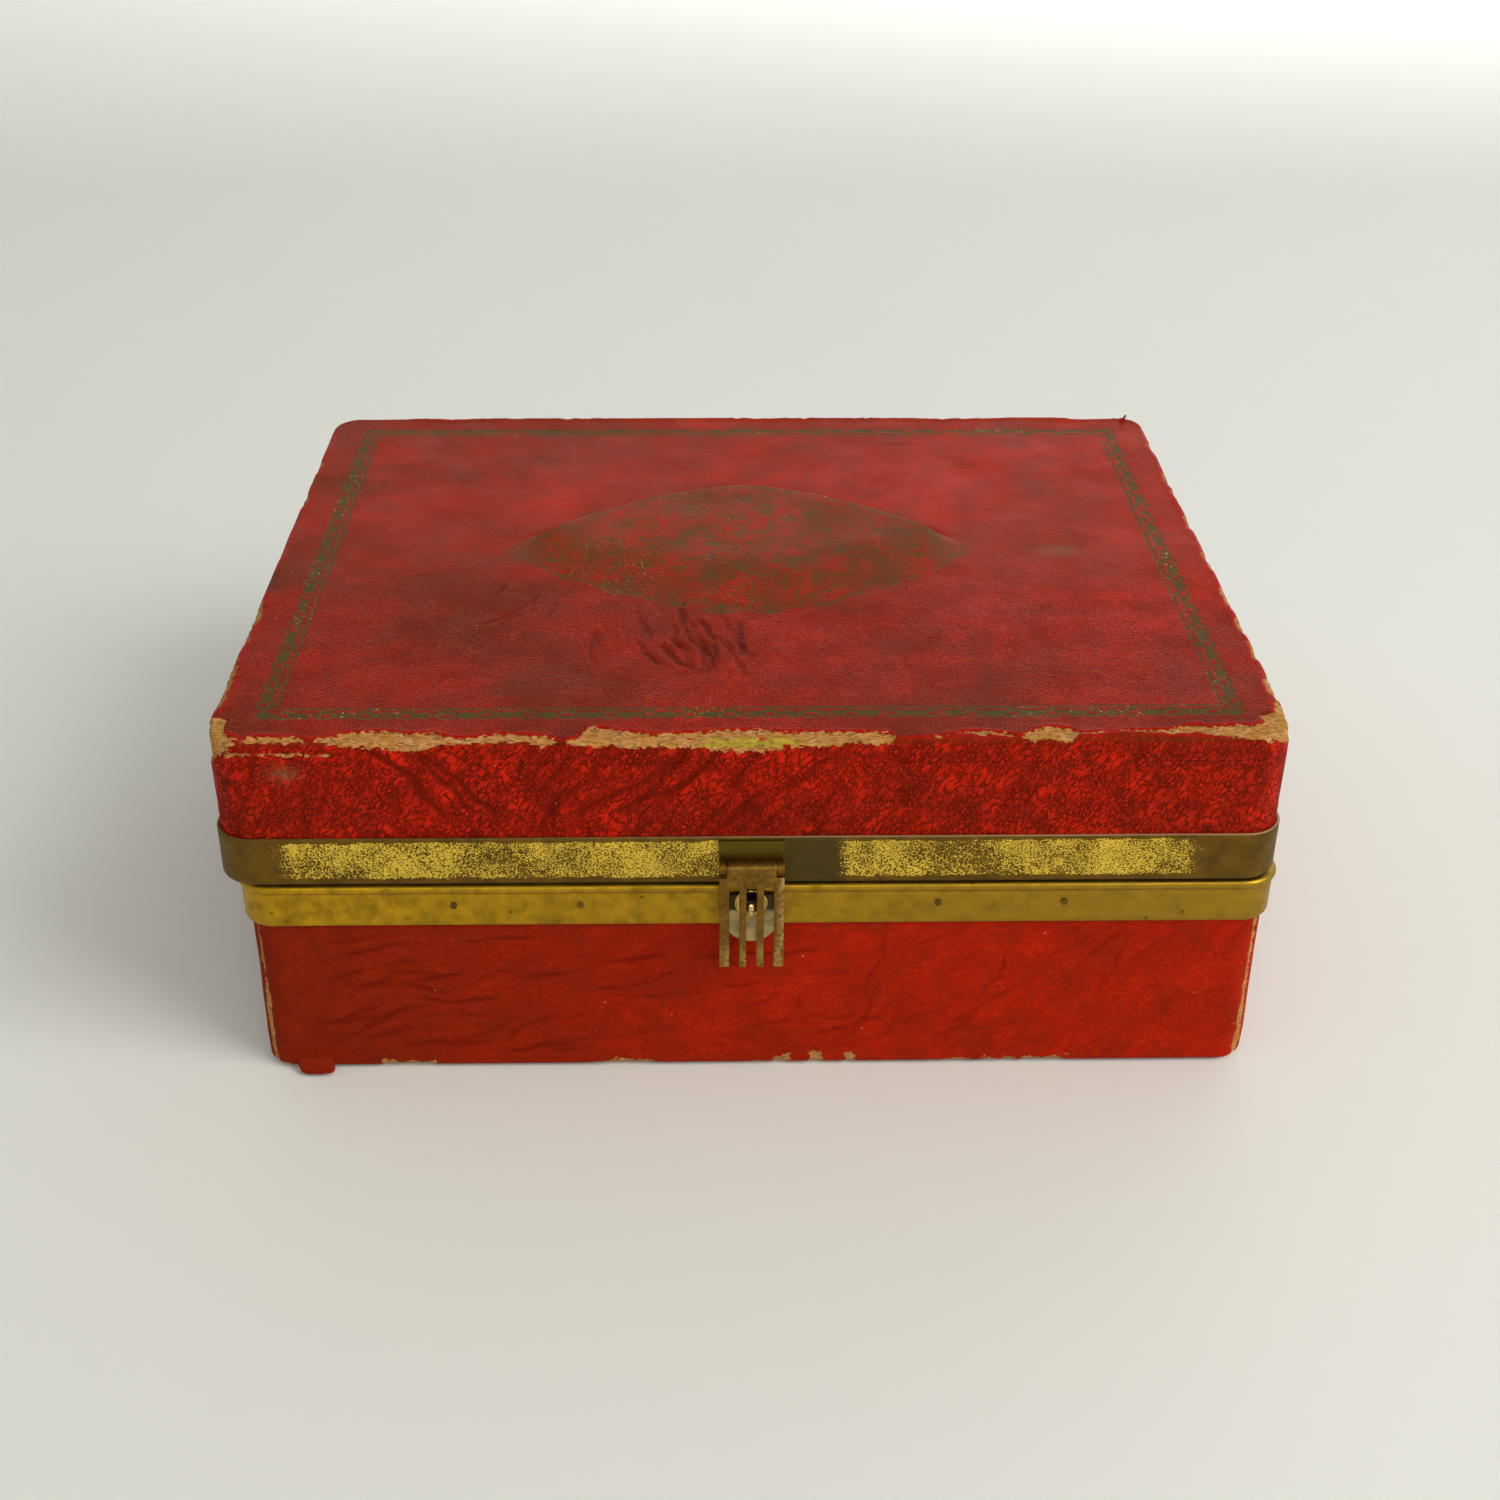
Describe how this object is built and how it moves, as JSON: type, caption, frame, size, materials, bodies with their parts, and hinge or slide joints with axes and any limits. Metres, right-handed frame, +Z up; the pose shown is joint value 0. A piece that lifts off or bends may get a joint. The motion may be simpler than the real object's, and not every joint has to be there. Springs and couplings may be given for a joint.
{
  "type": "jewellery case",
  "caption": "Rectangular board case covered in worn leather, with a hinged lid, brass rims, a comb hasp over a stud and a lift-out tray with padded ring rolls.",
  "frame": {"origin": "middle of the underside of the body, on the surface that the case stands on", "axes": "+X to the right, seen from the clasp; +Y to the hinges at the back; +Z up"},
  "size_m": [0.2429, 0.2029, 0.095],
  "materials": {
    "strawboard": "matt grey-yellow strawboard",
    "base_paper": "matt dark paper",
    "body_leather": "crushed grain, worn edges",
    "lid_leather": "crushed grain, worn edges, tarnished gilt tooling",
    "wadding": "cotton wadding",
    "body_rim_brass": "satin, lightly tarnished",
    "lid_rim_brass": "worn lacquer over brown patina",
    "pin_brass": "tarnished",
    "hinge_brass": "tarnished",
    "clasp_bronze": "brown patina with bright edges",
    "catch_brass": "pale dull patina",
    "knob_brass": "polished by use",
    "pin_steel": "drawn wire",
    "lining_satin": "faded gold satin",
    "ledge_card": "velvet-covered card",
    "tray_velvet": "short-pile velvet over card",
    "ring_velvet": "short-pile velvet over a soft roll",
    "ribbon": "woven ribbon"
  },
  "bodies": {
    "case_body": {"body_board_front": "strawboard", "body_board_back": "strawboard", "body_board_left": "strawboard", "body_board_right": "strawboard", "base_board": "strawboard", "base_cover": "base_paper", "body_leather": "body_leather", "body_rim": "body_rim_brass", "body_rim_pins": "pin_brass", "hinge_rivets_body": "pin_brass", "hinge_leaf_body_left": "hinge_brass", "hinge_leaf_body_right": "hinge_brass", "hinge_pin_left": "pin_steel", "hinge_pin_right": "pin_steel", "catch_plate": "catch_brass", "catch_knob": "knob_brass", "body_lining_front": "lining_satin", "body_lining_back": "lining_satin", "body_lining_left": "lining_satin", "body_lining_right": "lining_satin", "floor_pad": "lining_satin", "tray_ledge_left": "ledge_card", "tray_ledge_right": "ledge_card"},
    "lid": {"lid_board_front": "strawboard", "lid_board_back": "strawboard", "lid_board_left": "strawboard", "lid_board_right": "strawboard", "lid_board_top": "strawboard", "lid_leather_sides": "lid_leather", "lid_leather_top": "lid_leather", "lid_wadding": "wadding", "lid_rim": "lid_rim_brass", "hinge_rivets_lid": "pin_brass", "hinge_leaf_lid_left": "hinge_brass", "hinge_leaf_lid_right": "hinge_brass", "hasp_leaf": "clasp_bronze", "hasp_pin": "pin_steel", "lid_lining_front": "lining_satin", "lid_lining_back": "lining_satin", "lid_lining_left": "lining_satin", "lid_lining_right": "lining_satin", "lid_pad": "lining_satin"},
    "hasp": {"hasp": "clasp_bronze", "hasp_clip": "clasp_bronze"},
    "tray": {"tray_wall_front": "tray_velvet", "tray_wall_back": "tray_velvet", "tray_wall_left": "tray_velvet", "tray_wall_right": "tray_velvet", "tray_floor": "tray_velvet", "tray_divider_long": "tray_velvet", "tray_dividers_front": "tray_velvet", "tray_dividers_back": "tray_velvet", "ring_roll_1": "ring_velvet", "ring_roll_2": "ring_velvet", "ring_roll_3": "ring_velvet", "ring_roll_4": "ring_velvet", "ring_roll_5": "ring_velvet", "tray_tabs": "ribbon"}
  },
  "joints": [
    {"name": "lid_hinge", "type": "hinge", "parent": "case_body", "child": "lid", "pos_m": [0, 0.098, 0.0546], "axis": [-1, 0, 0], "range_deg": [0, 100]},
    {"name": "hasp_hinge", "type": "hinge", "parent": "lid", "child": "hasp", "pos_m": [-0.002, -0.09835, 0.0608], "axis": [-1, 0, 0], "range_deg": [0, 160]},
    {"name": "tray_lift", "type": "slide", "parent": "case_body", "child": "tray", "axis": [0, 0, 1], "range_m": [0, 0.02]}
  ]
}
